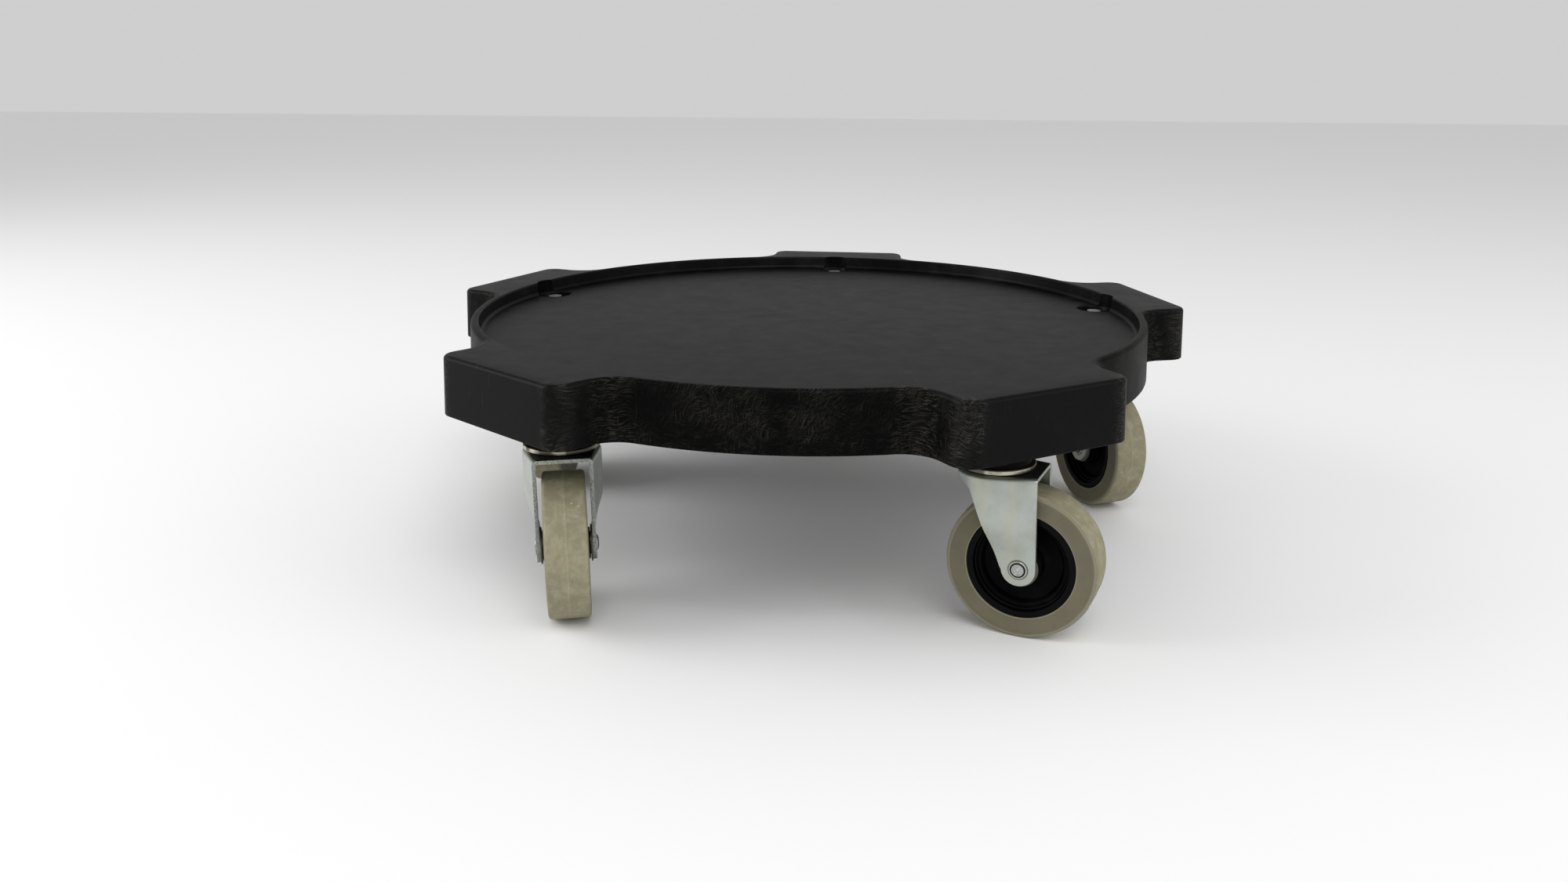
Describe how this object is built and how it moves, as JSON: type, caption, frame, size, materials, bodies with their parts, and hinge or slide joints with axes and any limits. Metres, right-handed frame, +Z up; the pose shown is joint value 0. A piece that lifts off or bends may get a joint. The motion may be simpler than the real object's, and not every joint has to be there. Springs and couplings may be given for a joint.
{
  "type": "drum dolly",
  "caption": "Round drum dolly: black moulded deck with flat-faced pods, a recessed drum seat, and swivel casters with zinc forks and grey rubber wheels under the pods.",
  "frame": {"origin": "centre of the round drum seat, on the seat's face", "axes": "+Z up, out of the seat's face; -Y towards the middle of the gap between the two front pods; +X to the right of someone who stands in front"},
  "size_m": [0.4604, 0.4388, 0.1327],
  "materials": {
    "deck_plastic": "semi-matte black moulded plastic with fine grey flow marks and scuffs",
    "zinc_plate": "bright zinc-plated pressed steel",
    "zinc_dull": "duller zinc-plated steel of pins, rivets, washers and nuts",
    "zinc_race": "yellowish zinc-plated pressed steel",
    "ball_steel": "polished bearing steel",
    "sleeve_grey": "grey steel bearing sleeve",
    "washer_grey": "olive grey plastic thrust washer",
    "hub_plastic": "black moulded plastic, satin on the rim",
    "grey_rubber": "warm grey rubber, scuffed, matte"
  },
  "bodies": {
    "deck": {"deck": "deck_plastic", "stem_washers": "zinc_dull", "stem_nuts": "zinc_dull", "stem_front_left": "zinc_dull", "stem_front_right": "zinc_dull", "stem_right": "zinc_dull", "stem_rear": "zinc_dull", "stem_left": "zinc_dull", "top_race_front_left": "zinc_race", "top_race_front_right": "zinc_race", "top_race_right": "zinc_race", "top_race_rear": "zinc_race", "top_race_left": "zinc_race", "race_balls_front_left": "ball_steel", "race_balls_front_right": "ball_steel", "race_balls_right": "ball_steel", "race_balls_rear": "ball_steel", "race_balls_left": "ball_steel", "thrust_washer_front_left": "zinc_dull", "thrust_washer_front_right": "zinc_dull", "thrust_washer_right": "zinc_dull", "thrust_washer_rear": "zinc_dull", "thrust_washer_left": "zinc_dull"},
    "fork_front_left": {"fork_front_left": "zinc_plate", "axle_front_left": "zinc_dull", "sleeve_front_left": "sleeve_grey", "axle_washers_front_left": "washer_grey"},
    "wheel_front_left": {"hub_front_left": "hub_plastic", "tyre_front_left": "grey_rubber"},
    "fork_front_right": {"fork_front_right": "zinc_plate", "axle_front_right": "zinc_dull", "sleeve_front_right": "sleeve_grey", "axle_washers_front_right": "washer_grey"},
    "wheel_front_right": {"hub_front_right": "hub_plastic", "tyre_front_right": "grey_rubber"},
    "fork_right": {"fork_right": "zinc_plate", "axle_right": "zinc_dull", "sleeve_right": "sleeve_grey", "axle_washers_right": "washer_grey"},
    "wheel_right": {"hub_right": "hub_plastic", "tyre_right": "grey_rubber"},
    "fork_rear": {"fork_rear": "zinc_plate", "axle_rear": "zinc_dull", "sleeve_rear": "sleeve_grey", "axle_washers_rear": "washer_grey"},
    "wheel_rear": {"hub_rear": "hub_plastic", "tyre_rear": "grey_rubber"},
    "fork_left": {"fork_left": "zinc_plate", "axle_left": "zinc_dull", "sleeve_left": "sleeve_grey", "axle_washers_left": "washer_grey"},
    "wheel_left": {"hub_left": "hub_plastic", "tyre_left": "grey_rubber"}
  },
  "joints": [
    {"name": "swivel_front_left", "type": "hinge", "parent": "deck", "child": "fork_front_left", "pos_m": [-0.11062, -0.15226, -0.0391], "axis": [0, 0, 1], "continuous": true},
    {"name": "wheel_spin_front_left", "type": "hinge", "parent": "fork_front_left", "child": "wheel_front_left", "pos_m": [-0.10518, -0.1692, -0.0866], "axis": [-0.9521, -0.3057, 0], "continuous": true},
    {"name": "swivel_front_right", "type": "hinge", "parent": "deck", "child": "fork_front_right", "pos_m": [0.11062, -0.15226, -0.0391], "axis": [0, 0, 1], "continuous": true},
    {"name": "wheel_spin_front_right", "type": "hinge", "parent": "fork_front_right", "child": "wheel_front_right", "pos_m": [0.12759, -0.15764, -0.0866], "axis": [-0.3024, -0.9532, 0], "continuous": true},
    {"name": "swivel_right", "type": "hinge", "parent": "deck", "child": "fork_right", "pos_m": [0.17899, 0.05816, -0.0391], "axis": [0, 0, 1], "continuous": true},
    {"name": "wheel_spin_right", "type": "hinge", "parent": "fork_right", "child": "wheel_right", "pos_m": [0.18671, 0.04212, -0.0866], "axis": [-0.9011, -0.4337, 0], "continuous": true},
    {"name": "swivel_rear", "type": "hinge", "parent": "deck", "child": "fork_rear", "pos_m": [0, 0.1882, -0.0391], "axis": [0, 0, 1], "continuous": true},
    {"name": "wheel_spin_rear", "type": "hinge", "parent": "fork_rear", "child": "wheel_rear", "pos_m": [0.00609, 0.17147, -0.0866], "axis": [-0.9397, -0.342, 0], "continuous": true},
    {"name": "swivel_left", "type": "hinge", "parent": "deck", "child": "fork_left", "pos_m": [-0.17899, 0.05816, -0.0391], "axis": [0, 0, 1], "continuous": true},
    {"name": "wheel_spin_left", "type": "hinge", "parent": "fork_left", "child": "wheel_left", "pos_m": [-0.17806, 0.04038, -0.0866], "axis": [-0.9986, -0.0523, 0], "continuous": true}
  ]
}
